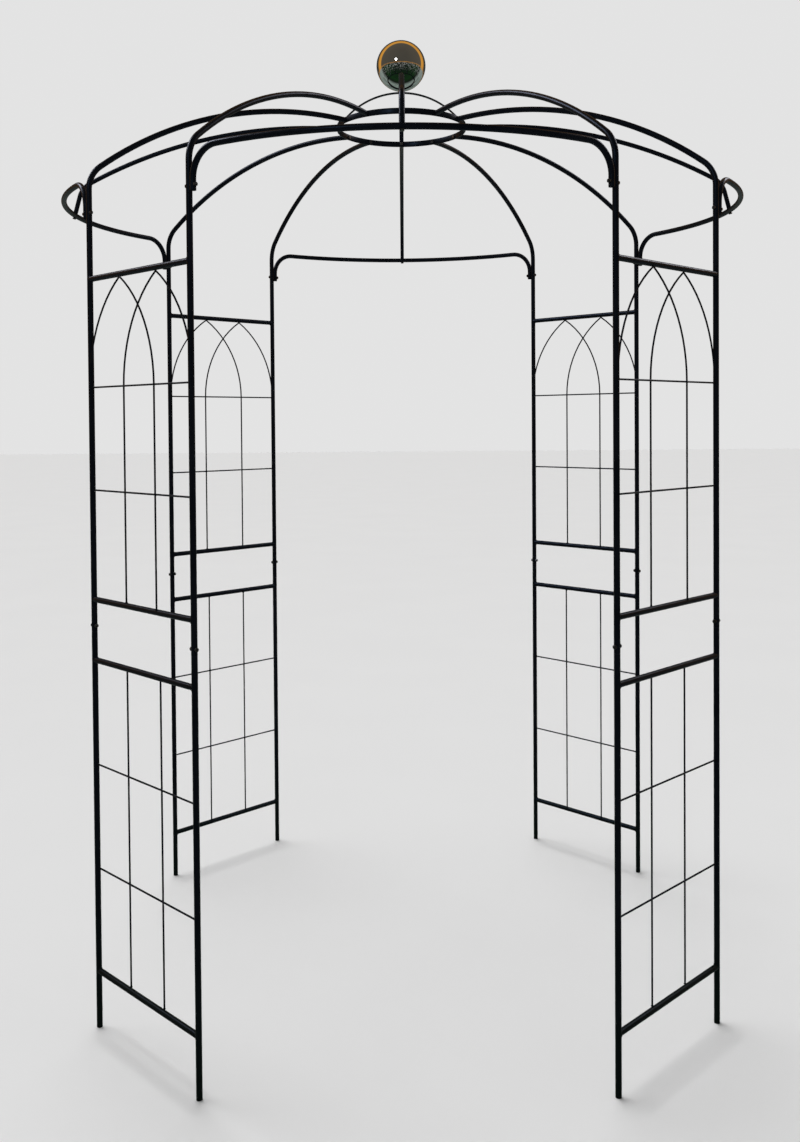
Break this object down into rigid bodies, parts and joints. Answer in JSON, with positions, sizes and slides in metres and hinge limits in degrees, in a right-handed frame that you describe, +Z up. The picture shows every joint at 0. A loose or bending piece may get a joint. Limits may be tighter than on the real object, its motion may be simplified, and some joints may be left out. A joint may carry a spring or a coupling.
{
  "type": "garden arbour",
  "caption": "Round birdcage garden arbour of black steel tube, with trellis side panels, open entrances under bowed headers, a domed rib roof, a crown ring and a mirror ball.",
  "frame": {"origin": "on the ground at the centre of the circle that the eight posts stand on", "axes": "+Z up; the front entrance faces -Y and the right entrance faces +X"},
  "size_m": [2.1072, 2.1072, 2.8815],
  "materials": {
    "powder_coat": "semi-gloss black powder coat, very slightly textured",
    "black_zinc": "black zinc plated hexagon fasteners",
    "mirror_steel": "polished stainless steel"
  },
  "bodies": {
    "root": {"ball_screw": "black_zinc", "crown_ring": "powder_coat", "finial_stand": "powder_coat", "gazing_ball": "mirror_steel", "header_back": "powder_coat", "header_bolt_back_left": "black_zinc", "header_bolt_back_right": "black_zinc", "header_bolt_front_left": "black_zinc", "header_bolt_front_right": "black_zinc", "header_bolt_left_left": "black_zinc", "header_bolt_left_right": "black_zinc", "header_bolt_right_left": "black_zinc", "header_bolt_right_right": "black_zinc", "header_front": "powder_coat", "header_left": "powder_coat", "header_right": "powder_coat", "lower_panel_back_left": "powder_coat", "lower_panel_back_right": "powder_coat", "lower_panel_front_left": "powder_coat", "lower_panel_front_right": "powder_coat", "mid_rib_back": "powder_coat", "mid_rib_front": "powder_coat", "mid_rib_left": "powder_coat", "mid_rib_right": "powder_coat", "mid_rib_screw_back": "black_zinc", "mid_rib_screw_front": "black_zinc", "mid_rib_screw_left": "black_zinc", "mid_rib_screw_right": "black_zinc", "panel_bolt_back_left_left": "black_zinc", "panel_bolt_back_left_right": "black_zinc", "panel_bolt_back_right_left": "black_zinc", "panel_bolt_back_right_right": "black_zinc", "panel_bolt_front_left_left": "black_zinc", "panel_bolt_front_left_right": "black_zinc", "panel_bolt_front_right_left": "black_zinc", "panel_bolt_front_right_right": "black_zinc", "rib_back_left": "powder_coat", "rib_back_right": "powder_coat", "rib_front_left": "powder_coat", "rib_front_right": "powder_coat", "rib_left_left": "powder_coat", "rib_left_right": "powder_coat", "rib_right_left": "powder_coat", "rib_right_right": "powder_coat", "ring_screw_back_left": "black_zinc", "ring_screw_back_middle": "black_zinc", "ring_screw_back_right": "black_zinc", "ring_screw_front_left": "black_zinc", "ring_screw_front_middle": "black_zinc", "ring_screw_front_right": "black_zinc", "ring_screw_left_left": "black_zinc", "ring_screw_left_middle": "black_zinc", "ring_screw_left_right": "black_zinc", "ring_screw_right_left": "black_zinc", "ring_screw_right_middle": "black_zinc", "ring_screw_right_right": "black_zinc", "upper_panel_back_left": "powder_coat", "upper_panel_back_right": "powder_coat", "upper_panel_front_left": "powder_coat", "upper_panel_front_right": "powder_coat"}
  },
  "joints": []
}
